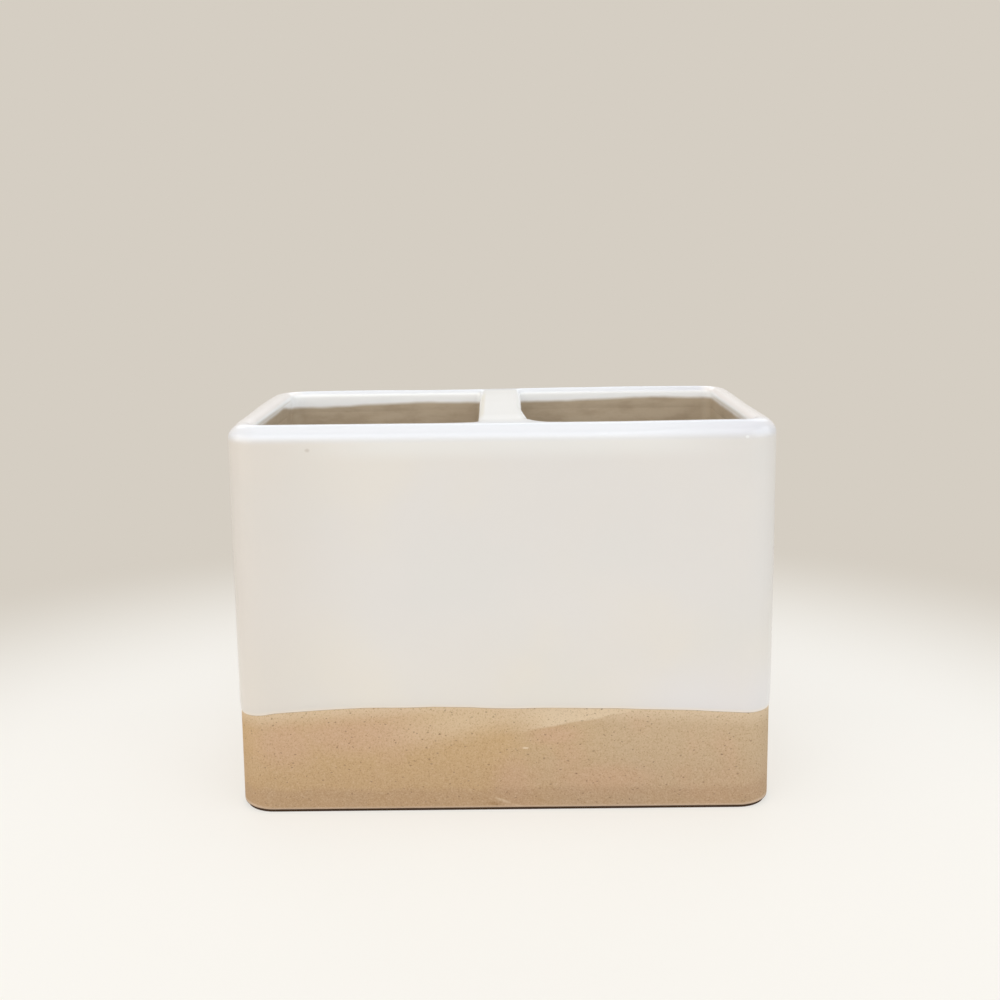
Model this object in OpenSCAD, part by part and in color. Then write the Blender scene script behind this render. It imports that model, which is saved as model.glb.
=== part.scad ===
// Two-well toothbrush holder in dip-glazed stoneware.
// Origin: on the counter, under the middle of the body. +X is the width, +Z is up, the front faces -Y.

/* [Body] */
// Width of the clay body, without its glaze
body_w = 139.4; // [110:0.1:200]
// Depth of the clay body from front to back
body_d = 76.2; // [60:0.1:120]
// Height of the clay rim above the counter
body_h = 101.7; // [70:0.1:140]
// Thickness of the cast walls
wall_t = 5.5; // [3.5:0.1:7]
// Outside radius of the upright corners
corner_r = 9; // [7.5:0.1:18]
// Rounding of the wall's lower outside edge
base_edge_r = 0.5; // [0.3:0.1:1.4]

/* [Rim] */
// Rounding of the rim and of the divider's top towards the wells
rim_inner_r = 1.6; // [0.8:0.1:2.2]
// Width of the flat crest between the rim's inner and outer rounding
rim_flat = 0.2; // [0.1:0.1:1.5]

/* [Divider] */
// Thickness of the divider between the wells, twice a cast wall
divider_t = 11; // [6:0.1:24]
// How far the divider stands to the right of the middle
divider_x = -0.5; // [-20:0.5:20]
// Radius of the wells' corners beside the divider
luted_r = 2; // [1.5:0.1:8]
// Radius of the one corner, front of the right well, where the divider flares into the wall
flare_r = 6.5; // [1.5:0.1:12]
// How far the divider's flared ends are let into the front and back walls
divider_let_in = 1.2; // [0.5:0.1:2]

/* [Base] */
// Thickness of the base slab between the walls, above its foot
base_t = 6; // [4:0.1:10]
// Height of the foot that the holder stands on
foot_h = 0.8; // [0.6:0.1:3]
// Width of the foot from its outside to the hollow under the base
foot_w = 8; // [5:0.1:14]
// How far the foot stands back from the rounding of the wall's lower edge
foot_step = 0.3; // [0.1:0.1:2]

/* [Glaze] */
// Thickness of the white dipped coat
glaze_t = 0.3; // [0.2:0.05:0.8]
// Thickness of the poured coat that lines each well
liner_t = 0.25; // [0.15:0.05:0.5]
// Radius that the poured coat pools to where a well's floor meets its walls
pool_r = 1.6; // [0.5:0.1:3]
// Height of the white coat's lower edge at the ends of the front
dip_h = 26.1; // [12:0.1:50]
// How much the white coat's lower edge rises towards the middle of the front and of the back
dip_arch = 2.6; // [0.5:0.1:6]
// How much it rises towards the middle of each side
dip_side_arch = 1.2; // [0.2:0.1:4]
// How much it leans down towards the right
dip_lean = 0.3; // [0:0.1:2]
// How much the arch is flattened in its middle
dip_flat = 0.3; // [0:0.05:0.5]
// How much the left half of the arch stands above the right half
dip_swing = 0.3; // [0:0.05:0.5]
// How far the white coat reaches down inside the wells
inner_dip = 3.4; // [3.3:0.1:8]
// How much the coat's edge in the wells rises towards the right
inner_lean = 1; // [0:0.1:1.1]

/* [Hidden] */
$fn = 64;

clay_colour = "#c8a680";
white_colour = "#ece6dd";
liner_colour = "#cdbfa8";

// How far a cutting solid runs past what it cuts
overrun = 1;
// How far the divider's housing runs past its flare, so that the flare ends on a flat
housing_margin = 0.6;
// Steps along a glaze edge
edge_steps = 28;

// The wells. Corner radii are listed anticlockwise from the back right corner.
floor_top = foot_h + base_t;
foot_inset = base_edge_r + foot_step;
inner_w = body_w - 2 * wall_t;
inner_d = body_d - 2 * wall_t;
well_r = corner_r - wall_t;
function well_w(side) = (inner_w - divider_t) / 2 - side * divider_x;
function well_x(side) = side * (inner_w - well_w(side)) / 2;
function well_radii(side) =
    side < 0 ? [luted_r, well_r, well_r, luted_r] : [well_r, luted_r, flare_r, well_r];
function all_corners(r) = [r, r, r, r];
function grown(radii, g) = [for (r = radii) r + g];

// The rim's outside rounding takes what the crest and the inside rounding leave of the wall
rim_outer_r = wall_t - rim_inner_r - rim_flat;

// The divider's housing in the walls
housing_w = divider_t + 2 * (max(luted_r, flare_r) + housing_margin);
housing_d = inner_d + 2 * divider_let_in;

// Heights of the glaze edges: across the front and back, along one side, and across the wells
function across(x) = 180 * x / body_w;
function dip_z(x) =
    dip_h + dip_arch * cos(across(x)) - dip_flat * cos(3 * across(x))
    - dip_lean * sin(across(x)) - dip_swing * sin(2 * across(x));
function side_dip_z(side, y) = dip_z(side * body_w / 2) + dip_side_arch * cos(180 * y / body_d);
function inner_dip_z(x) = body_h - inner_dip + inner_lean * sin(across(x));
function steps(reach) = [for (i = [0:edge_steps]) reach * (2 * i / edge_steps - 1)];

// Puts a shape at the centre of a rectangle's round corner i, turned so that the corner points to +X +Y
module at_corner(w, d, radii, i) {
    half = i % 2 == 0 ? [w / 2, d / 2] : [d / 2, w / 2];
    rotate([0, 0, 90 * i]) translate([half[0] - radii[i], half[1] - radii[i], 0]) children();
}

// A rectangle with round corners
module plan(w, d, radii) {
    difference() {
        square([w, d], center = true);
        for (i = [0:3]) at_corner(w, d, radii, i) square(radii[i] + overrun);
    }
    for (i = [0:3]) at_corner(w, d, radii, i) circle(radii[i]);
}

// An upright block on that rectangle
module block(w, d, radii, low, high) {
    translate([0, 0, low]) linear_extrude(high - low) plan(w, d, radii);
}

// A round bar bent to run just inside a block's outline, at the height z
module edge_roll(w, d, radii, bar_r, z) {
    for (i = [0:3]) {
        r = radii[i];
        run = (i % 2 == 0 ? w : d) - r - radii[(i + 1) % 4];
        translate([0, 0, z]) at_corner(w, d, radii, i) {
            rotate_extrude(angle = 90) intersection() {
                translate([r - bar_r, 0]) circle(bar_r);
                translate([0, -bar_r]) square([r, 2 * bar_r]);
            }
            translate([0, r - bar_r, 0]) rotate([0, -90, 0]) cylinder(r = bar_r, h = run);
        }
    }
}

// A block whose lower outside edge is rounded, and its upper one too unless high_r is zero
module rounded_block(w, d, radii, low, high, low_r, high_r) {
    block(w, d, radii, low + low_r, high - high_r);
    block(w - 2 * low_r, d - 2 * low_r, grown(radii, -low_r), low, high - high_r);
    edge_roll(w, d, radii, low_r, low + low_r);
    if (high_r > 0) {
        block(w - 2 * high_r, d - 2 * high_r, grown(radii, -high_r), low + low_r, high);
        edge_roll(w, d, radii, high_r, high - high_r);
    }
}

// The hollow of the left (-1) or the right (1) well, g smaller all round
module well(side, g, low, high) {
    translate([well_x(side), 0, 0])
        block(well_w(side) - 2 * g, inner_d - 2 * g, grown(well_radii(side), -g), low, high);
}

// What is cut away at a well's mouth to leave a rounded lip, g proud of the clay
module mouth(side, g) {
    lip_r = rim_inner_r + g;
    w = well_w(side) - 2 * g;
    d = inner_d - 2 * g;
    radii = grown(well_radii(side), -g);
    spring = body_h - rim_inner_r;
    translate([well_x(side), 0, 0]) difference() {
        block(w + 2 * lip_r, d + 2 * lip_r, grown(radii, lip_r), spring, spring + lip_r + overrun);
        edge_roll(w + 4 * lip_r, d + 4 * lip_r, grown(radii, 2 * lip_r), lip_r, spring);
    }
}

// The whole cast form, g proud of the clay on every face that shows
module cast_form(g) {
    difference() {
        rounded_block(
            body_w + 2 * g, body_d + 2 * g, all_corners(corner_r + g),
            foot_h - g, body_h + g, base_edge_r + g, rim_outer_r + g);
        for (side = [-1, 1]) {
            well(side, g, floor_top + g, body_h - rim_inner_r);
            mouth(side, g);
        }
    }
}

// An upright sheet of the given thickness, standing across Y, whose top edge follows the points
module under_edge(points, thickness) {
    reach = points[len(points) - 1][0];
    rotate([90, 0, 0]) translate([0, 0, -thickness / 2]) linear_extrude(thickness)
        polygon(concat([[reach, -overrun], [-reach, -overrun]], points));
}

// Everything outside the body that lies under the white coat's lower edge
module below_dip() {
    reach_x = body_w / 2 + glaze_t + overrun;
    reach_y = body_d / 2 + glaze_t + overrun;
    under_edge([for (x = steps(reach_x)) [x, dip_z(x)]], 2 * reach_y);
    for (side = [-1, 1])
        translate([side * reach_x / 2, 0, 0]) rotate([0, 0, 90])
            under_edge([for (y = steps(reach_y)) [y, side_dip_z(side, y)]], reach_x);
}

// Everything in the wells that lies under the white coat's edge there
module below_inner_dip() {
    reach_x = (body_w - wall_t) / 2;
    under_edge([for (x = steps(reach_x)) [x, inner_dip_z(x)]], body_d - wall_t);
}

// The walls: one cast ring with a bullnose rim, housed front and back for the divider
module stoneware_shell() {
    color(clay_colour) difference() {
        rounded_block(
            body_w, body_d, all_corners(corner_r), foot_h, body_h, base_edge_r, rim_outer_r);
        block(inner_w, inner_d, all_corners(well_r), foot_h - overrun, body_h + overrun);
        for (side = [-1, 1]) mouth(side, 0);
        translate([divider_x - housing_w / 2, -housing_d / 2, floor_top])
            cube([housing_w, housing_d, body_h]);
    }
}

// The base: a slab between the walls, on a foot that also runs under them and is hollow in the middle
module base_slab() {
    foot = 2 * foot_inset;
    hollow = 2 * (foot_inset + foot_w);
    color(clay_colour) difference() {
        union() {
            block(inner_w, inner_d, all_corners(well_r), 0, floor_top);
            block(body_w - foot, body_d - foot, all_corners(corner_r - foot_inset), 0, foot_h);
        }
        block(body_w - hollow, body_d - hollow, all_corners(well_r), -overrun, foot_h);
    }
}

// The divider: a solid web with rounded top edges, whose ends flare into the walls
module divider() {
    color(clay_colour) difference() {
        translate([divider_x - housing_w / 2, -housing_d / 2, floor_top])
            cube([housing_w, housing_d, body_h - floor_top]);
        for (side = [-1, 1]) {
            well(side, 0, floor_top - overrun, body_h - rim_inner_r);
            mouth(side, 0);
        }
    }
}

// The white coat: down the outside to the dip line, over the rim and divider, and just into the wells
module dip_glaze() {
    color(white_colour) difference() {
        cast_form(glaze_t);
        cast_form(0);
        below_dip();
        below_inner_dip();
    }
}

// The thin coat poured into a well, which pools in the corners of its floor
module well_liner(side) {
    radii = grown(well_radii(side), -liner_t);
    color(liner_colour) intersection() {
        difference() {
            well(side, 0, floor_top, body_h);
            translate([well_x(side), 0, 0]) rounded_block(
                well_w(side) - 2 * liner_t, inner_d - 2 * liner_t, radii,
                floor_top + liner_t, body_h + overrun, min(pool_r, min(radii)), 0);
        }
        below_inner_dip();
    }
}

stoneware_shell();
base_slab();
divider();
dip_glaze();
well_liner(-1);  // left_well_liner
well_liner(1);  // right_well_liner
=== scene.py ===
import math

import bmesh
import bpy
from mathutils import Matrix, Vector, noise


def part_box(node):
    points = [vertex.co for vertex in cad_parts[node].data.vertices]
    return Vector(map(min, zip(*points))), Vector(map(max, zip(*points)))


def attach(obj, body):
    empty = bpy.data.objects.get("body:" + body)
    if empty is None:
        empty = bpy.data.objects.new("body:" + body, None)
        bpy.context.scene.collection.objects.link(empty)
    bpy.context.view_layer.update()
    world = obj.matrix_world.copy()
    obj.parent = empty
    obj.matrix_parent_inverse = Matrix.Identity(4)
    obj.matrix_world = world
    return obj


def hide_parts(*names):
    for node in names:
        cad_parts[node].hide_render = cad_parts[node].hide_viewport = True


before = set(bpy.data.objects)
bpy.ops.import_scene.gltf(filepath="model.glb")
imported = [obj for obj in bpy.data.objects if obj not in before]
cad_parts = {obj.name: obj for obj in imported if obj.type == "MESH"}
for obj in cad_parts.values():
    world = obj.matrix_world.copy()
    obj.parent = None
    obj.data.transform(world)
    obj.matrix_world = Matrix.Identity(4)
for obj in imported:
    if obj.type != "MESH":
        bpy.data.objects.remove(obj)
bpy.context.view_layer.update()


# The camera stands where the photographer stood: a third of a metre in front of the holder,
# a little above its rim, with the picture cropped below the middle of the lens.
MM = 0.001
CAMERA_AT = Vector((-0.4, -333.5, 147.3)) * MM
CAMERA_PITCH = 0.1459
CAMERA_YAW = 0.0005
CAMERA_ROLL = -0.0105
PICTURE_PX = 1000
FOCAL_PX = 1202
OPTICAL_AXIS_PX = 416.9

lens = bpy.data.cameras.new("camera")
lens.sensor_width = 36
lens.lens = lens.sensor_width * FOCAL_PX / PICTURE_PX
lens.shift_y = (OPTICAL_AXIS_PX - PICTURE_PX / 2) / PICTURE_PX
lens.clip_start = 0.01
camera = bpy.data.objects.new("camera", lens)
camera.matrix_world = (
    Matrix.Translation(CAMERA_AT)
    @ Matrix.Rotation(CAMERA_YAW, 4, "Z")
    @ Matrix.Rotation(math.pi / 2 - CAMERA_PITCH, 4, "X")
    @ Matrix.Rotation(CAMERA_ROLL, 4, "Z")
)
bpy.context.scene.collection.objects.link(camera)
bpy.context.scene.camera = camera
bpy.context.scene.view_settings.view_transform = "Standard"


# The bare clay: buff stoneware, left unglazed at the bottom. The shell, the base and the divider are
# luted together with slip and fired as one. It is matt and fine grained, with iron specks, blushes
# where the kiln coloured it, and a paler tide mark where the dip ran thin.
class Wire:
    """An output of a node. Arithmetic on it adds Math nodes."""

    def __init__(self, nodes, socket):
        self.nodes = nodes
        self.socket = socket

    def math(self, operation, *values):
        return self.nodes.node("ShaderNodeMath", {"operation": operation}, dict(enumerate(values)))

    def __add__(self, other):
        return self.math("ADD", self, other)

    def __sub__(self, other):
        return self.math("SUBTRACT", self, other)

    def __rsub__(self, other):
        return self.math("SUBTRACT", other, self)

    def __mul__(self, other):
        return self.math("MULTIPLY", self, other)

    def __gt__(self, other):
        return self.math("GREATER_THAN", self, other)

    def __abs__(self):
        return self.math("ABSOLUTE", self)

    __radd__ = __add__
    __rmul__ = __mul__

    def cosine(self):
        return self.math("COSINE", self)

    def over(self, other):
        """The greater of this and the other."""
        return self.math("MAXIMUM", self, other)

    def length(self, other):
        """The length of a line that runs this far one way and the other across it."""
        return self.math("SQRT", self * self + other * other)

    def ramp(self, start, end):
        """0 where this is at start, 1 at end, and smooth between them."""
        settings = {"interpolation_type": "SMOOTHSTEP"}
        return self.nodes.node("ShaderNodeMapRange", settings, {0: self, 1: start, 2: end})


class Nodes:
    """A node tree, and the one way in which nodes are added to it."""

    def __init__(self, tree):
        self.tree = tree

    def node(self, kind, settings={}, inputs={}, output=0):
        made = self.tree.nodes.new(kind)
        for name, value in settings.items():
            setattr(made, name, value)
        for name, value in inputs.items():
            if isinstance(value, Wire):
                self.tree.links.new(value.socket, made.inputs[name])
            else:
                made.inputs[name].default_value = value
        return Wire(self, made.outputs[output])

    def mix(self, factor, first, second):
        return self.node("ShaderNodeMix", {"data_type": "RGBA"}, {0: factor, 6: first, 7: second}, 2)


SPECK_LEAST = 0.25
SPECK_SPREAD = 0.4
SPECK_SOFTNESS = 0.35
FRONT_FACE_Y = (-36 * MM, -33 * MM)


class Finish(Nodes):
    """A material. Its Principled shader takes constants at once, and wires later."""

    def __init__(self, name, **constants):
        self.material = bpy.data.materials.new(name)
        self.material.use_nodes = True
        super().__init__(self.material.node_tree)
        self.shader = self.tree.nodes["Principled BSDF"]
        for socket, value in constants.items():
            self.shader.inputs[socket.replace("_", " ")].default_value = value
        self.place = self.node("ShaderNodeTexCoord", output="Object")
        self.x, self.y, self.z = self.split("ShaderNodeSeparateXYZ", self.place)

    def split(self, kind, wire):
        return [Wire(self, out) for out in self.node(kind, {}, {0: wire}).socket.node.outputs]

    def cloud(self, size, detail=2, roughness=0.5, place=None):
        """Soft noise about 0.5, whose blotches are about the given size."""
        inputs = {"Vector": place or self.place, "Scale": 1 / size, "Detail": detail, "Roughness": roughness}
        return self.node("ShaderNodeTexNoise", {}, inputs)

    def specks(self, spacing, radius, share, place=None):
        """1 in round specks of up to the given radius. A share of the cells of that spacing has one."""
        cells = self.node("ShaderNodeTexVoronoi", {}, {"Vector": place or self.place, "Scale": 1 / spacing})
        lot, size, _ = self.split("ShaderNodeSeparateColor", Wire(self, cells.socket.node.outputs["Color"]))
        reach = (SPECK_LEAST + SPECK_SPREAD * size) * (radius / spacing)
        return (1 - (cells - reach).ramp(0, SPECK_SOFTNESS * radius / spacing)) * (lot > 1 - share)

    def spot(self, x, z, half_w, half_h, turn=0, core=0.5):
        """1 at the core of a soft oval, turned about its middle, at that place on the front."""
        right = (self.x - x) * math.cos(turn) + (self.z - z) * math.sin(turn)
        up = (self.z - z) * math.cos(turn) - (self.x - x) * math.sin(turn)
        from_middle = (right * (1 / half_w)).length(up * (1 / half_h))
        return (1 - from_middle.ramp(core, 1)) * (1 - self.y.ramp(*FRONT_FACE_Y))

    def feed(self, socket, wire):
        self.tree.links.new(wire.socket, self.shader.inputs[socket])

    def bump(self, height, distance, under=None):
        inputs = {"Height": height, "Distance": distance}
        if under:
            inputs["Normal"] = under
        return self.node("ShaderNodeBump", {}, inputs)

    def put_on(self, *names):
        for name in names:
            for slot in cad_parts[name].material_slots:
                slot.material = self.material


def colour(red, green, blue):
    """A colour as it looks on a screen, 0 to 255, in the light units that Blender mixes."""
    return tuple(
        c / 12.92 if c <= 0.04045 else ((c + 0.055) / 1.055) ** 2.4
        for c in (red / 255, green / 255, blue / 255)
    ) + (1,)


clay_low, clay_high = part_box("stoneware_shell")
CLAY_W = clay_high.x - clay_low.x
CLAY_D = clay_high.y - clay_low.y
DIP_Z = 26.1 * MM
DIP_ARCH = 2.6 * MM
DIP_FLAT = 0.3 * MM
DIP_LEAN = 0.3 * MM
DIP_SWING = 0.3 * MM
DIP_SIDE_ARCH = 1.2 * MM


def dip_line(x, y, cosine):
    """Height of the white coat's lower edge, for numbers or for wires."""
    across = x * (math.pi / CLAY_W)
    arch = DIP_ARCH * cosine(across) - DIP_FLAT * cosine(across * 3)
    lean = DIP_LEAN * cosine(across - math.pi / 2) + DIP_SWING * cosine(across * 2 - math.pi / 2)
    return DIP_Z + arch - lean + DIP_SIDE_ARCH * cosine(y * (math.pi / CLAY_D))


CLAY_OCHRE = colour(201, 169, 127)
CLAY_BLUSH = colour(205, 170, 139)
CLAY_GREY = colour(199, 177, 149)
CLAY_PALE = colour(225, 203, 173)
CLAY_FOOT_SHADE = colour(178, 147, 116)
CLAY_ARRIS_WEAR_AND_SHEEN = colour(214, 190, 166)
CLAY_SPECK = colour(106, 76, 50)
CLAY_FAINT_SPECK_AND_SHADE = colour(148, 111, 64)
CLAY_LIGHT_GRAIN = colour(219, 194, 167)
FOOT_SHADE_BROWN = colour(70, 50, 34)
BLUSH_SIZE = 20 * MM
GREYED_SIZE = 15 * MM
GREYER_X = (-2 * MM, 34 * MM)

clay = Finish("bare_clay", Roughness=0.86, Specular_IOR_Level=0.35)
blush = clay.cloud(BLUSH_SIZE, 3).ramp(0.5, 0.68) * 0.5

# Each of the larger blushes has its place across and up, half its width and half its height.
BLUSHES = (
    (-38 * MM, 21 * MM, 30 * MM, 8 * MM),
    (-57 * MM, 19 * MM, 13 * MM, 10 * MM),
    (26 * MM, 8.5 * MM, 20 * MM, 6 * MM),
    (2 * MM, 7 * MM, 8 * MM, 11 * MM),
    (13 * MM, 20.5 * MM, 10 * MM, 4 * MM),
)
for oval in BLUSHES:
    blush = blush.over(clay.spot(*oval, core=0.2) * 0.8)
greyed = clay.cloud(GREYED_SIZE, 2).ramp(0.5, 0.72)
to_right = clay.x.ramp(*GREYER_X)
body_colour = clay.mix(greyed * 0.3 + to_right * 0.65, CLAY_OCHRE, CLAY_GREY)
body_colour = clay.mix(blush, body_colour, CLAY_BLUSH)

# The tide mark ends below along a slanting line that is crisp on the right and fades to the left, and
# the clay is pale all along just under the lip of the dip.
TIDE_Z = 20.6 * MM
TIDE_SLOPE = 0.185
TIDE_SPAN = 9 * MM
TIDE_WANDER = 1.2 * MM
TIDE_Y = (-36 * MM, -30 * MM)
CRISP_X = (0, 14 * MM)
CRISP_EDGE = (-0.4 * MM, 0.5 * MM)
SOFT_X = (-40 * MM, -8 * MM)
SOFT_EDGE = (-1 * MM, 6 * MM)
NEAR_LIP_H = 5 * MM
over_tide = clay.z - clay.x * TIDE_SLOPE - TIDE_Z + (clay.cloud(TIDE_SPAN, 2) - 0.5) * TIDE_WANDER
on_front = 1 - clay.y.ramp(*TIDE_Y)
on_right = clay.x.ramp(*CRISP_X)
crisp = over_tide.ramp(*CRISP_EDGE) * on_right
soft = over_tide.ramp(*SOFT_EDGE) * (1 - on_right) * clay.x.ramp(*SOFT_X)
below_lip = dip_line(clay.x, clay.y, Wire.cosine) - clay.z
near_lip = 1 - below_lip.ramp(0, NEAR_LIP_H)
tide = (crisp * 0.9 + soft * 0.55) * on_front
body_colour = clay.mix(tide.over(near_lip * 0.66), body_colour, CLAY_PALE)

# Painted shade darkens it toward the foot, and once more below a wavering edge.
FOOT_SHADE_Z = (4 * MM, 22 * MM)
SHADE_EDGE_SPAN = 9 * MM
SHADE_EDGE_WANDER = 3 * MM
SHADE_EDGE_Z = (5 * MM, 7.4 * MM)
shade_edge = clay.z + (clay.cloud(SHADE_EDGE_SPAN, 3) - 0.5) * SHADE_EDGE_WANDER
foot_shade = (1 - clay.z.ramp(*FOOT_SHADE_Z)) * 0.35 + (1 - shade_edge.ramp(*SHADE_EDGE_Z)) * 0.35
body_colour = clay.mix(foot_shade, body_colour, CLAY_FOOT_SHADE)

# Grain and specks, none of them quite round.
GRAIN_SIZE = 0.42 * MM
SPECK_DRAW = (0.7, 0.7, 1)
SCATTER_SIZE = 0.6 * MM
SCATTER = 0.5 * MM
grain = clay.cloud(GRAIN_SIZE, 3, 0.8)
body_colour = clay.mix(grain.ramp(0.5, 0.72) * 0.46, body_colour, CLAY_FAINT_SPECK_AND_SHADE)
body_colour = clay.mix(grain.ramp(0.5, 0.3) * 0.4, body_colour, CLAY_LIGHT_GRAIN)
drawn_out = clay.node("ShaderNodeMapping", {}, {"Vector": clay.place, "Scale": SPECK_DRAW})
scatter = clay.node("ShaderNodeTexNoise", {}, {"Vector": clay.place, "Scale": 1 / SCATTER_SIZE}, "Color")
nudge = {"operation": "MULTIPLY_ADD"}
warped = clay.node("ShaderNodeVectorMath", nudge, {0: scatter, 1: (SCATTER,) * 3, 2: drawn_out})
fine_specks = clay.specks(spacing=0.75 * MM, radius=0.17 * MM, share=0.6, place=warped)
specks = clay.specks(spacing=1.3 * MM, radius=0.26 * MM, share=0.7, place=warped)
big_specks = clay.specks(spacing=3.4 * MM, radius=0.36 * MM, share=0.45, place=warped)
body_colour = clay.mix(fine_specks * 0.45, body_colour, CLAY_FAINT_SPECK_AND_SHADE)
body_colour = clay.mix((specks * 0.45).over(big_specks * 0.6), body_colour, CLAY_SPECK)

# A fleck, and a scuff by the foot, which a finger or a kiln shelf left, with painted shade under it.
SCUFF_BREAKS = 1.5 * MM
fleck = clay.spot(x=5.2 * MM, z=17.2 * MM, half_w=1.1 * MM, half_h=0.3 * MM)
scuff = clay.spot(x=-0.8 * MM, z=2.9 * MM, half_w=3.4 * MM, half_h=0.6 * MM, turn=-0.36, core=0.2)
scuff = scuff * clay.cloud(SCUFF_BREAKS).ramp(0.3, 0.6)
smear = clay.spot(x=3 * MM, z=1.5 * MM, half_w=2.6 * MM, half_h=0.5 * MM, turn=-0.3, core=0.1)
shade = clay.spot(x=-3 * MM, z=2 * MM, half_w=2.6 * MM, half_h=0.8 * MM, turn=-0.1, core=0.1)
body_colour = clay.mix(shade * 0.35, body_colour, CLAY_FAINT_SPECK_AND_SHADE)
body_colour = clay.mix(fleck.over(scuff * 0.45).over(smear * 0.3), body_colour, CLAY_PALE)

# The lowest edge is pale, partly rubbed and partly a painted highlight on its rounding.
# Below it the foot is painted dark as shade in the crevice under the wall; both reach higher at the ends.
FOOT_TOP_Z = clay_low.z
FOOT_RISE = 0.5 * MM
FOOT_RISE_X = (60 * MM, 69 * MM)
FOOT_EDGE = (FOOT_TOP_Z - 0.12 * MM, FOOT_TOP_Z - 0.02 * MM)
ARRIS_LOW = (FOOT_TOP_Z - 0.1 * MM, FOOT_TOP_Z)
ARRIS_HIGH = (1.2 * MM, 1.7 * MM)
from_foot = clay.z - abs(clay.x).ramp(*FOOT_RISE_X) * FOOT_RISE
arris_wear_and_sheen = from_foot.ramp(*ARRIS_LOW) * (1 - from_foot.ramp(*ARRIS_HIGH))
body_colour = clay.mix(arris_wear_and_sheen * 0.6, body_colour, CLAY_ARRIS_WEAR_AND_SHEEN)
body_colour = clay.mix(1 - from_foot.ramp(*FOOT_EDGE), body_colour, FOOT_SHADE_BROWN)
clay.feed("Base Color", body_colour)

# Fine grit lies over the slight waves that a hand leaves in soft clay.
GRIT_SIZE = 0.35 * MM
GRIT_H = 0.03 * MM
WAVE_SIZE = 6 * MM
WAVE_H = 0.25 * MM
grit = clay.bump(clay.cloud(GRIT_SIZE, 3, 0.65), GRIT_H)
clay.feed("Normal", clay.bump(clay.cloud(WAVE_SIZE, 2), WAVE_H, grit))
clay.put_on("stoneware_shell", "base_slab", "divider")


# The coat poured into each well and out again: a thin beige liner glaze over the clay, satin and a
# little streaked. The dipped white runs over its top and fades into it.
LINER_BEIGE = colour(186, 170, 147)
LINER_BROWN = colour(167, 149, 126)
STREAK_SIZE = 3 * MM
STREAK_DRAW = (0.35, 0.35, 1)
LINER_RIPPLE_SIZE = 2.5 * MM
LINER_RIPPLE_H = 0.08 * MM


def liner_colour(finish):
    drawn = finish.node("ShaderNodeMapping", {}, {"Vector": finish.place, "Scale": STREAK_DRAW})
    streaks = finish.cloud(STREAK_SIZE, 3, 0.6, drawn)
    return finish.mix(streaks.ramp(0.35, 0.7) * 0.7, LINER_BEIGE, LINER_BROWN)


liner = Finish("liner_glaze", Roughness=0.35)
liner.feed("Base Color", liner_colour(liner))
liner.feed("Normal", liner.bump(liner.cloud(LINER_RIPPLE_SIZE, 2), LINER_RIPPLE_H))
liner.put_on("left_well_liner", "right_well_liner")


# The white coat: the holder was dipped upside down in a gloss glaze, so the coat covers the walls down
# to a wavering line, rounds the rim and the divider, and thins out just inside the wells. It is a skin
# about as thick as a thumbnail, softly uneven, with a round lip along its edges.
coat_low, coat_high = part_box("dip_glaze")
_, left_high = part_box("left_well_liner")
right_low, right_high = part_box("right_well_liner")
COAT_T = clay_low.x - coat_low.x
CORNER_R = 9.3 * MM
LUTED_R = 1.7 * MM
FLARE_R = 6.2 * MM
RIM_OUTER_R = 4.1 * MM
RIM_INNER_R = 2 * MM
SKIRT_Z = 22 * MM
CALM_Z = 45 * MM
MOUTH_Z = 95 * MM
SPRING_Z = coat_high.z - RIM_INNER_R
CELL = 3.5 * MM
CLOSE_ROWS = (0.3 * MM, 0.7 * MM, 1.3 * MM, 2.2 * MM)
TINY = 1e-6
SLIVER = 0.12 * MM
LEVEL_NORMAL = 0.9
SQUARE_STEP = 0.5

coat = bmesh.new()
bmesh.ops.create_cube(coat, size=1)
coat_size = coat_high - coat_low
bmesh.ops.scale(coat, vec=(coat_size.x, coat_size.y, coat_high.z - SKIRT_Z), verts=coat.verts)
bmesh.ops.translate(coat, vec=(0, 0, (coat_high.z + SKIRT_Z) / 2), verts=coat.verts)


def upright(edge):
    along = edge.verts[0].co - edge.verts[1].co
    return abs(along.z) > TINY and along.xy.length < TINY


def round_over(edges, radius, segments):
    bmesh.ops.bevel(
        coat,
        geom=edges,
        offset=radius,
        offset_type="OFFSET",
        segments=segments,
        profile=0.5,
        affect="EDGES",
        clamp_overlap=True,
        material=-1,
    )


round_over([edge for edge in coat.edges if upright(edge)], CORNER_R, segments=12)
coat.normal_update()
open_end = [face for face in coat.faces if face.normal.z < -LEVEL_NORMAL]
bmesh.ops.delete(coat, geom=open_end, context="FACES_ONLY")

# The crest is parted into the rim, the divider and the two well mouths, and the mouths are drawn down.
crest = [face for face in coat.faces if face.normal.z > LEVEL_NORMAL]
rim_w = coat_high.x - (right_high.x - COAT_T)
bmesh.ops.inset_region(coat, faces=crest, thickness=rim_w, use_even_offset=True)
divider_left = left_high.x - COAT_T
divider_right = right_low.x + COAT_T
for x in (divider_left, divider_right):
    parts = list(dict.fromkeys(part for face in crest for part in (face, *face.edges, *face.verts)))
    cut = bmesh.ops.bisect_plane(coat, geom=parts, plane_co=(x, 0, 0), plane_no=(1, 0, 0), dist=TINY)
    crest = [part for part in cut["geom"] if isinstance(part, bmesh.types.BMFace)]
left_mouth, divider_top, right_mouth = sorted(crest, key=lambda face: face.calc_center_median().x)
divider_ends = [e for e in divider_top.edges if abs(e.verts[0].co.y - e.verts[1].co.y) < TINY]
for mouth in (left_mouth, right_mouth):
    lip = list(mouth.edges)
    bmesh.ops.delete(coat, geom=[mouth], context="FACES_ONLY")
    walls = bmesh.ops.extrude_edge_only(coat, edges=lip)["geom"]
    deep = [part for part in walls if isinstance(part, bmesh.types.BMVert)]
    bmesh.ops.translate(coat, vec=(0, 0, MOUTH_Z - coat_high.z), verts=deep)
bmesh.ops.dissolve_edges(coat, edges=divider_ends, use_verts=False)

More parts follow.
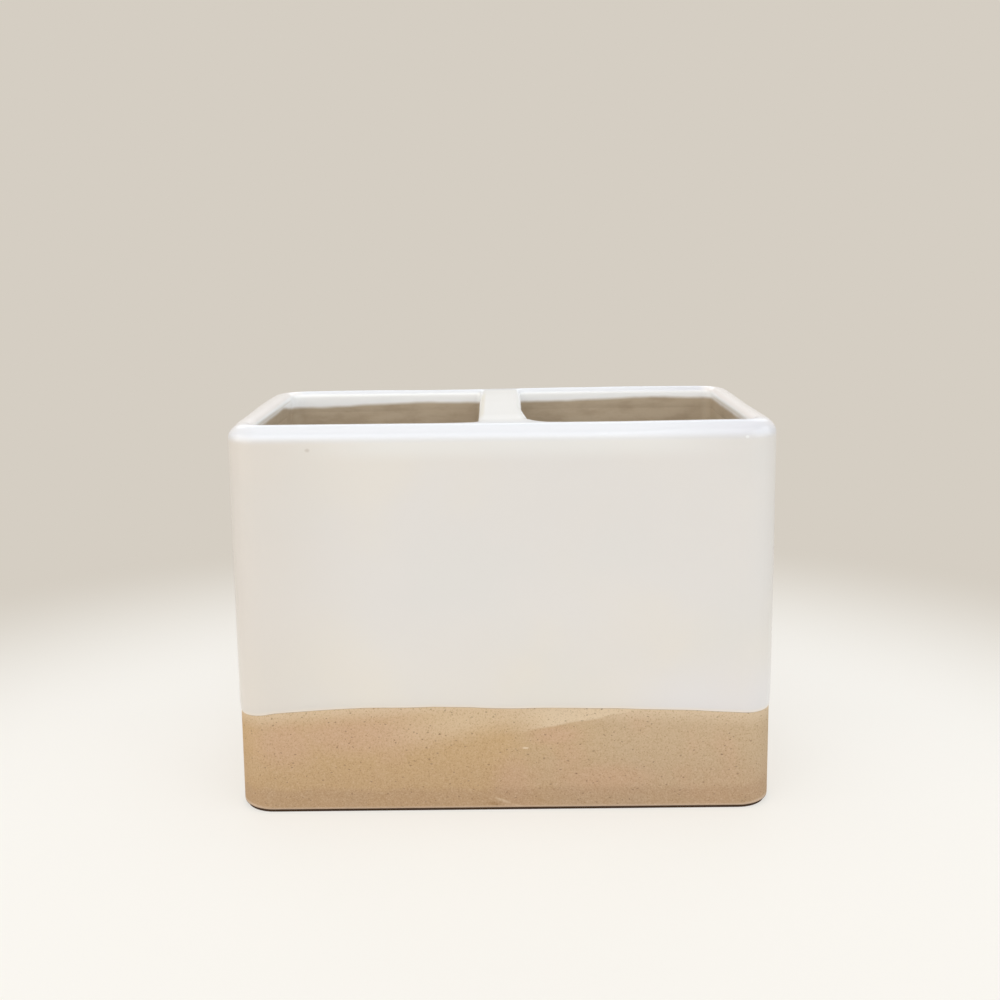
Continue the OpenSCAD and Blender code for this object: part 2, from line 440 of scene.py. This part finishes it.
# Beside the divider the wells' corners are tight but for one. Then the rim is rounded out and in.
well_back = left_high.y - COAT_T
well_corners = (
    (divider_left, -well_back, LUTED_R),
    (divider_left, well_back, LUTED_R),
    (divider_right, -well_back, FLARE_R),
    (divider_right, well_back, LUTED_R),
)
for x, y, radius in well_corners:
    here = Vector((x, y))
    standing = [e for e in coat.edges if upright(e) and (e.verts[0].co.xy - here).length < 10 * TINY]
    round_over(standing, radius, segments=8)
coat.normal_update()
rim = [
    edge
    for edge in coat.edges
    if all(abs(v.co.z - coat_high.z) < TINY for v in edge.verts)
    and abs(edge.link_faces[0].normal.z - edge.link_faces[1].normal.z) > SQUARE_STEP
]


def falls_outside(edge):
    return min(v.co.z for face in edge.link_faces for v in face.verts) < MOUTH_Z - CELL


round_over([edge for edge in rim if falls_outside(edge)], RIM_OUTER_R, segments=8)
well_lips = [edge for edge in rim if edge.is_valid and not falls_outside(edge)]
round_over(well_lips, RIM_INNER_R, segments=6)


def cut_across(axis, places):
    for place in places:
        parts = [*coat.verts, *coat.edges, *coat.faces]
        bmesh.ops.bisect_plane(coat, geom=parts, plane_co=axis * place, plane_no=axis, dist=TINY)


def spaced(low, high):
    count = math.ceil((high - low) / CELL)
    return [low + (high - low) * i / count for i in range(1, count)]


cut_across(Vector((1, 0, 0)), spaced(coat_low.x, coat_high.x))
cut_across(Vector((0, 1, 0)), spaced(coat_low.y, coat_high.y))
cut_across(Vector((0, 0, 1)), spaced(SKIRT_Z, MOUTH_Z))
cut_across(Vector((0, 0, 1)), [low + rise for low in (SKIRT_Z, MOUTH_Z) for rise in CLOSE_ROWS])

# The cuts make their corners in an order that changes from run to run, and the weld keeps the one or the
# other of two close corners by that order. So they are handed to it in order of place.
in_order = sorted(coat.verts, key=lambda vert: tuple(vert.co))
bmesh.ops.remove_doubles(coat, verts=in_order, dist=SLIVER)

# The skirt is gathered up to the dip line and thins out to its lip, and in the wells the coat dives
# under the liner. Between them the surface swells a little, as a glaze does where it ran and pooled,
# and drops hang along the front. The left end and the back of the rim are out of true, the front rim
# sags a touch, and the divider spreads to the right where glaze gathered in its front corners.
DIP_WANDER = 0.12 * MM
DIP_WANDER_SPAN = 7 * MM
LIP_DROP = 0.16 * MM
SWELL = 0.22 * MM
SWELL_BIAS = 0.45
SWELL_SPAN = 32 * MM
SWELL_RISE = 8 * CELL
DIMPLE = 0.04 * MM
DIMPLE_SPAN = 9 * MM
LIP_T = 0.1 * MM
LIP_RISE = 4 * MM
LIP_GLOW_H = 1 * MM
DIVE = 0.14 * MM
DIVE_H = 1.6 * MM
DROPS = (
    (Vector((-69.5, -35)) * MM, 10 * MM, 0.55 * MM),
    (Vector((-27, -38)) * MM, 7 * MM, 0.2 * MM),
    (Vector((0, -38)) * MM, 9 * MM, 0.32 * MM),
)
BOW = 0.7 * MM
BOW_Y = 6 * MM
BOW_SPAN = 84 * MM
BOW_CLOSENESS = 8
BULGE = 0.9 * MM
BULGE_Y = 19 * MM
BULGE_R = 24 * MM
BOW_LOW_Z = 55 * MM
BACK_TILT = 0.28 * MM
FLARE_SPREAD = 1.7 * MM
FLARE_BACK_Y = -6 * MM
FLARE_RUN = 23 * MM
FLARE_BLEND = 4 * MM
FLARE_REACH = 14 * MM
GATHER = 1.4 * MM
GATHER_REACH = 12 * MM
GATHER_DEPTH = 5 * MM
FRONT_SAG = 0.14 * MM
SAG_END_X = 50 * MM
SAG_FADE = 20 * MM
SAG_BACK_Y = -24 * MM
SAG_DEPTH = 5 * MM
SAG_LOW_Z = 99 * MM
SAG_RISE = 2 * MM

coat.normal_update()
thin = coat.verts.layers.float.new("thin_glaze")
for vert in coat.verts:
    x, y, z = vert.co
    from_outside = min(coat_high.x - abs(x), coat_high.y - abs(y))
    in_well = z > MOUTH_Z - TINY and from_outside > RIM_OUTER_R
    rise = z - (MOUTH_Z if in_well else SKIRT_Z)
    swell = SWELL * (SWELL_BIAS + noise.noise(vert.co / SWELL_SPAN))
    swell += DIMPLE * noise.noise(vert.co / DIMPLE_SPAN)
    if in_well:
        sunk = DIVE * max(0, 1 - rise / DIVE_H)
        swell = max(0, swell) * min(1, rise / (SPRING_Z - MOUTH_Z))
    else:
        sunk = (COAT_T - LIP_T) * max(0, 1 - rise / LIP_RISE) ** 2
        swell = swell * min(1, rise / SWELL_RISE)
        vert[thin] = max(0, 1 - rise / LIP_GLOW_H)
        if z < CALM_Z:
            edge = dip_line(x, y, math.cos) + DIP_WANDER * noise.noise(vert.co / DIP_WANDER_SPAN) - LIP_DROP
            for at, radius, height in DROPS:
                edge -= height * max(0, 1 - ((vert.co.xy - at).length / radius) ** 2)
            vert.co.z = edge + rise * (CALM_Z - edge) / (CALM_Z - SKIRT_Z)
    sagging = min(1, max(0, (SAG_END_X - x) / SAG_FADE)) * min(1, max(0, (SAG_BACK_Y - y) / SAG_DEPTH))
    sagging *= min(1, max(0, (z - SAG_LOW_Z) / SAG_RISE))
    vert.co += vert.normal * (swell * (1 - sagging) - FRONT_SAG * sagging - sunk)
    if x < 0 and z > BOW_LOW_Z:
        end_share = (1 - min(1, from_outside / rim_w)) * (abs(x) / coat_high.x) ** BOW_CLOSENESS
        bowed = BOW * math.cos(math.pi * (y - BOW_Y) / BOW_SPAN)
        bulged = BULGE * max(0, 1 - ((y - BULGE_Y) / BULGE_R) ** 2)
        high_share = (z - BOW_LOW_Z) / (coat_high.z - BOW_LOW_Z)
        vert.co.x -= (bowed + bulged) * end_share * high_share
    if y > 0 and z > MOUTH_Z:
        vert.co.z += BACK_TILT * math.sin(math.pi * x / CLAY_W) * (y / coat_high.y) ** 2
    if z > MOUTH_Z and y > RIM_OUTER_R - coat_high.y:
        height_share = min(1, (z - MOUTH_Z) / (SPRING_Z - MOUTH_Z))
        forward = min(1, max(0, (FLARE_BACK_Y - y) / FLARE_RUN))
        beside = x - divider_right
        across = min(1, max(0, 1 + beside / FLARE_BLEND)) * max(0, 1 - max(0, beside) / FLARE_REACH)
        vert.co.x += FLARE_SPREAD * forward * across * height_share
        from_divider = max(0, x - divider_right, divider_left - x)
        gathered = max(0, 1 - from_divider / GATHER_REACH) ** 2
        gathered *= 1 - min(1, max(0, -y - well_back) / GATHER_DEPTH)
        vert.co.y += GATHER * gathered * forward * height_share

coat_mesh = bpy.data.meshes.new("white_coat")
coat.to_mesh(coat_mesh)
coat.free()
for polygon in coat_mesh.polygons:
    polygon.use_smooth = True
white_coat = bpy.data.objects.new("white_coat", coat_mesh)
bpy.context.scene.collection.objects.link(white_coat)
skin = white_coat.modifiers.new("skin", "SOLIDIFY")
skin.thickness = COAT_T
skin.offset = -1
skin.use_even_offset = True
soft_lip = white_coat.modifiers.new("soft_lip", "BEVEL")
soft_lip.width = LIP_T
soft_lip.segments = 3
soft_lip.limit_method = "ANGLE"
soft_lip.angle_limit = math.radians(50)
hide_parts("dip_glaze")
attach(white_coat, "root")

# The white is painted cooler and brighter on the rim, as painted sheen, and warmer where it thins out to its
# lip or over an edge. In the wells it gives way to the liner along a soft line, higher on the end walls.
GLAZE_WHITE = colour(229, 225, 221)
GLAZE_CREAM_AND_BOUNCE = colour(235, 227, 213)
GLAZE_COOL = colour(226, 224, 220)
GLAZE_RIM_SHEEN = colour(224, 226, 231)
GLAZE_RIM_RIGHT_SHEEN = colour(216, 217, 223)
GLAZE_SIDE_RIM_LIGHT = colour(244, 239, 237)
GLAZE_UNDER_RIM_SHEEN = colour(239, 238, 235)
GLAZE_PAINTED_LIGHT = colour(247, 248, 248)
GLAZE_LIP_WARMTH_AND_HIGHLIGHT = colour(246, 232, 214)
GLAZE_SEAM_SHADE = colour(152, 134, 114)
GLAZE_LEFT_SHADE = colour(221, 212, 201)
GLAZE_LOW_RIGHT_COOL_LIGHT = colour(230, 227, 229)
GLAZE_EDGE = colour(236, 229, 208)
GLAZE_BREAK = colour(205, 192, 172)
GLAZE_SPECK = colour(150, 128, 104)
GLAZE_ROUGHNESS = 0.3
CREAM_SIZE = 50 * MM
COOL_SIZE = 32 * MM
LOW_DOWN_Z = (28 * MM, 60 * MM)
ON_LEFT_X = (-64 * MM, -30 * MM)
LOW_RIGHT_X = (15 * MM, 50 * MM)
LOW_RIGHT_Z = (28 * MM, 48 * MM)

white = Finish("white_glaze", Roughness=GLAZE_ROUGHNESS, Coat_Weight=0.45, Coat_Roughness=0.04)
creamed = white.cloud(CREAM_SIZE, 2).ramp(0.4, 0.62)
cooled = white.cloud(COOL_SIZE, 2).ramp(0.48, 0.68)
# Low on the front a painted warm bounce from the floor creams it, on top of the cream clouds.
painted_bounce = 1 - white.z.ramp(*LOW_DOWN_Z)
glaze_colour = white.mix(creamed * 0.35 + painted_bounce * 0.3, GLAZE_WHITE, GLAZE_CREAM_AND_BOUNCE)
glaze_colour = white.mix(cooled * 0.35, glaze_colour, GLAZE_COOL)
# Painted shade darkens and warms the left end.
glaze_colour = white.mix((1 - white.x.ramp(*ON_LEFT_X)) * 0.45, glaze_colour, GLAZE_LEFT_SHADE)
# Painted cool light tints the lower right.
cool_light_low_right = white.x.ramp(*LOW_RIGHT_X) * (1 - white.z.ramp(*LOW_RIGHT_Z))
glaze_colour = white.mix(cool_light_low_right * 0.7, glaze_colour, GLAZE_LOW_RIGHT_COOL_LIGHT)

# Under the rim a painted highlight pales the middle, and on the rim lies a painted cool sheen, dimmer on the
# right.
# The end rims are painted a brighter, warmer white instead, as painted light.
MIDDLE_X = 4 * MM
MIDDLE_REACH = (30 * MM, 62 * MM)
UNDER_RIM_Z = (92 * MM, 97 * MM)
RIM_RIGHT_X = (30 * MM, 66 * MM)
RIM_Z = (97.2 * MM, 99.6 * MM)
SIDE_RIM_X = (60 * MM, 64 * MM)
SIDE_RIM_Y = (-38 * MM, -26 * MM)
SIDE_RIM_Z = (98 * MM, 101 * MM)
under_rim_sheen = 1 - abs(white.x - MIDDLE_X).ramp(*MIDDLE_REACH)
glaze_colour = white.mix(white.z.ramp(*UNDER_RIM_Z) * under_rim_sheen * 0.6, glaze_colour, GLAZE_UNDER_RIM_SHEEN)
rim_sheen = white.mix(white.x.ramp(*RIM_RIGHT_X), GLAZE_RIM_SHEEN, GLAZE_RIM_RIGHT_SHEEN)
glaze_colour = white.mix(white.z.ramp(*RIM_Z), glaze_colour, rim_sheen)
lit_side_rim = abs(white.x).ramp(*SIDE_RIM_X) * white.y.ramp(*SIDE_RIM_Y)
glaze_colour = white.mix(lit_side_rim * white.z.ramp(*SIDE_RIM_Z), glaze_colour, GLAZE_SIDE_RIM_LIGHT)

# Painted light brightens it on the divider and inside the lip, and it breaks to a faint line on the end
# walls.
WELL_X = (64.5 * MM, 66 * MM)
WELL_Y = (33 * MM, 34.5 * MM)
INSIDE_LIP_Z = (100.6 * MM, 101.5 * MM)
DIVIDER_X = (4 * MM, 9 * MM)
DIVIDER_Y = (27 * MM, 35 * MM)
END_WALL_X = (62 * MM, 63 * MM)
END_WALL_Y = (24 * MM, 29 * MM)
BREAK_Z = 99.9 * MM
BREAK_H = (0.1 * MM, 0.35 * MM)
within_wells = (1 - abs(white.x).ramp(*WELL_X)) * (1 - abs(white.y).ramp(*WELL_Y))
inside_lip = within_wells * (1 - white.z.ramp(*INSIDE_LIP_Z))
on_divider = (1 - abs(white.x).ramp(*DIVIDER_X)) * (1 - abs(white.y).ramp(*DIVIDER_Y))
glaze_colour = white.mix(inside_lip.over(on_divider), glaze_colour, GLAZE_PAINTED_LIGHT)
end_walls = abs(white.x).ramp(*END_WALL_X) * (1 - abs(white.y).ramp(*END_WALL_Y))
break_line = 1 - abs(white.z - BREAK_Z).ramp(*BREAK_H)
glaze_colour = white.mix(break_line * end_walls * within_wells * 0.28, glaze_colour, GLAZE_BREAK)

# The clay warms it where it is thin: at the lip of the dip, and along the divider's left edge.
EDGE_IN = 0.7 * MM
EDGE_W = (0.3 * MM, 1.2 * MM)
EDGE_Y = (16 * MM, 30 * MM)
EDGE_Z = (98 * MM, 100 * MM)
# At the lip a painted highlight also brightens it, and at its very edge a dark seam is partly painted
# shadow.
lip_share = white.node("ShaderNodeAttribute", {"attribute_name": "thin_glaze"}, {}, "Fac")
glaze_colour = white.mix(lip_share * 0.8, glaze_colour, GLAZE_LIP_WARMTH_AND_HIGHLIGHT)
glaze_colour = white.mix(lip_share.ramp(0.8, 0.95) * 0.6, glaze_colour, GLAZE_SEAM_SHADE)
by_edge = 1 - abs(white.x - (divider_left + EDGE_IN)).ramp(*EDGE_W)
between_walls = 1 - abs(white.y).ramp(*EDGE_Y)
on_top = white.z.ramp(*EDGE_Z)
glaze_colour = white.mix(by_edge * between_walls * on_top * 0.6, glaze_colour, GLAZE_EDGE)

# A few faint specks, one pin mark at the upper left, and a painted glint at the upper right.
faint_specks = white.specks(spacing=16 * MM, radius=0.3 * MM, share=0.5)
glaze_colour = white.mix(faint_specks * 0.35, glaze_colour, GLAZE_SPECK)
pin_mark = white.spot(x=-48.7 * MM, z=96 * MM, half_w=0.9 * MM, half_h=0.7 * MM, core=0.2)
glaze_colour = white.mix(pin_mark * 0.26, glaze_colour, GLAZE_SPECK)
painted_glint = white.spot(x=61 * MM, z=98.3 * MM, half_w=0.6 * MM, half_h=0.5 * MM)
glaze_colour = white.mix(painted_glint * 0.6, glaze_colour, GLAZE_PAINTED_LIGHT)

# The line where it gives way to the liner leans, rises in the middle of each well, and wanders.
WELL_LINE_Z = 97.9 * MM
WELL_LINE_LEAN = 1 * MM
WELL_LINE_ENDS_Z = 99 * MM
WELL_LINE_ENDS_X = (53 * MM, 63.5 * MM)
WELL_LINE_BACK_Y = (14 * MM, 31 * MM)
LEFT_RISE = 0.8 * MM
LEFT_RISE_X = -28 * MM
LEFT_RISE_REACH = (2 * MM, 28 * MM)
RIGHT_RISE = 0.4 * MM
RIGHT_RISE_X = 44 * MM
RIGHT_RISE_REACH = (3 * MM, 15 * MM)
WELL_LINE_SPAN = 9 * MM
WELL_LINE_WANDER = 0.8 * MM
GIVING_WAY = (0.9 * MM, -0.5 * MM)
GLAZE_RIPPLE_SIZE = 5 * MM
GLAZE_RIPPLE_H = 0.04 * MM
on_ends = abs(white.x).ramp(*WELL_LINE_ENDS_X) * (1 - white.y.ramp(*WELL_LINE_BACK_Y))
leaning = WELL_LINE_Z + WELL_LINE_LEAN * (white.x * (math.pi / CLAY_W) - math.pi / 2).cosine()
left_rise = 1 - abs(white.x - LEFT_RISE_X).ramp(*LEFT_RISE_REACH)
right_rise = 1 - abs(white.x - RIGHT_RISE_X).ramp(*RIGHT_RISE_REACH)
leaning = leaning + left_rise * LEFT_RISE + right_rise * RIGHT_RISE
wander = (white.cloud(WELL_LINE_SPAN, 2) - 0.5) * WELL_LINE_WANDER
well_line = leaning + on_ends * (WELL_LINE_ENDS_Z - leaning) + wander
given_way = (white.z - well_line).ramp(*GIVING_WAY) * within_wells
glaze_colour = white.mix(given_way, glaze_colour, liner_colour(white))
white.feed("Base Color", glaze_colour)
white.feed("Roughness", GLAZE_ROUGHNESS + given_way * 0.1)
white.feed("Normal", white.bump(white.cloud(GLAZE_RIPPLE_SIZE, 2), GLAZE_RIPPLE_H))
coat_mesh.materials.append(white.material)


# The stage: a wide sheet that is nearly white around the holder and blends into a pale wall tone farther
# off. What the camera sees of it is partly its own glow, so that it stays as plain as studio paper, and
# it throws only half of its light back at the holder.
FLOOR_NEAR = colour(246, 243, 237)
FLOOR_FAR = colour(213, 206, 195)
FLOOR_HALF_W = 6
FLOOR_MIDDLE = Vector((0, -60, 0)) * MM
FLOOR_FADE = (150 * MM, 320 * MM)
FLOOR_GLOW = 0.65
FLOOR_DIM = 0.5
SKY_LIGHT = 0.45


def seen_ray(nodes):
    path = nodes.node("ShaderNodeLightPath").socket.node.outputs
    camera_ray, glossy, through = (
        Wire(nodes, path[name]) for name in ("Is Camera Ray", "Is Glossy Ray", "Is Transmission Ray")
    )
    return camera_ray.over(glossy).over(through)


sheet = bmesh.new()
bmesh.ops.create_grid(sheet, x_segments=8, y_segments=8, size=FLOOR_HALF_W)
floor_mesh = bpy.data.meshes.new("floor")
sheet.to_mesh(floor_mesh)
sheet.free()
floor = bpy.data.objects.new("floor", floor_mesh)
bpy.context.scene.collection.objects.link(floor)
paper = Finish("floor_sheet", Roughness=0.9, Specular_IOR_Level=0.2)
span = {0: paper.place, 1: FLOOR_MIDDLE}
apart = paper.node("ShaderNodeVectorMath", {"operation": "DISTANCE"}, span, "Value")
far = apart.ramp(*FLOOR_FADE)
paper_colour = paper.mix(far, FLOOR_NEAR, FLOOR_FAR)
seen = seen_ray(paper)
paper.feed("Base Color", paper.mix(seen * (1 - FLOOR_DIM) + FLOOR_DIM, (0, 0, 0, 1), paper_colour))
glow = paper.node("ShaderNodeEmission", {}, {"Color": paper_colour})
glow_share = seen * (FLOOR_GLOW + far * (1 - FLOOR_GLOW))
plain = Wire(paper, paper.shader.outputs["BSDF"])
paper_surface = paper.node("ShaderNodeMixShader", {}, {0: glow_share, 1: plain, 2: glow})
paper.tree.links.new(paper_surface.socket, paper.tree.nodes["Material Output"].inputs["Surface"])
floor_mesh.materials.append(paper.material)

world = bpy.data.worlds.new("studio")
bpy.context.scene.world = world
world.use_nodes = True
air = Nodes(world.node_tree)
lit = air.node("ShaderNodeBackground", {}, {"Color": (1, 1, 1, 1), "Strength": SKY_LIGHT})
shown = air.node("ShaderNodeBackground", {}, {"Color": FLOOR_FAR})
sky = air.node("ShaderNodeMixShader", {}, {0: seen_ray(air), 1: lit, 2: shown})
air.tree.links.new(sky.socket, air.tree.nodes["World Output"].inputs["Surface"])


# The lamps are soft boxes of plain light. Warm ones hang overhead, in front and on the left, and cool
# ones behind, high in front and on the right. A thin strip draws the fine highlight on the front rim.
AIM_AT = Vector((0, 0, 60 * MM))


def hang_lamp(name, at, width, height, share, tint, turn=0):
    """A soft box that gives a surface facing it this share of plain full light."""
    lamp = bpy.data.lights.new(name, "AREA")
    lamp.shape = "RECTANGLE"
    lamp.size = width
    lamp.size_y = height
    lamp.color = tint
    back = Vector(at) - AIM_AT
    lamp.energy = share * math.pi**2 * back.length_squared
    hung = bpy.data.objects.new(name, lamp)
    facing = back.to_track_quat("Z", "Y").to_matrix().to_4x4()
    hung.matrix_world = Matrix.Translation(at) @ facing @ Matrix.Rotation(turn, 4, "Z")
    bpy.context.scene.collection.objects.link(hung)


WARM = (1, 0.95, 0.88)
COOL = (0.92, 0.97, 1)
BLUE = (0.86, 0.95, 1.06)
hang_lamp("overhead", at=(0, 0.05, 1.1), width=1.0, height=0.85, share=0.12, tint=WARM)
hang_lamp("behind", at=(0, 1.15, 0.95), width=2.0, height=0.7, share=0.25, tint=BLUE)
hang_lamp("high_front", at=(-0.2, -0.9, 0.9), width=1.1, height=0.8, share=0.165, tint=BLUE)
hang_lamp("front", at=(0.05, -1.05, 0.85), width=2.2, height=1.2, share=0.372, tint=WARM)
hang_lamp("left", at=(-1.34, -0.5, 0.56), width=1.8, height=1.05, share=0.43, tint=WARM)
hang_lamp("right", at=(1.34, -0.5, 0.58), width=1.8, height=1.05, share=0.42, tint=COOL)
hang_lamp("strip", at=(0.15, -0.8, 0.9), width=0.85, height=0.03, share=0.012, tint=COOL, turn=1.22)
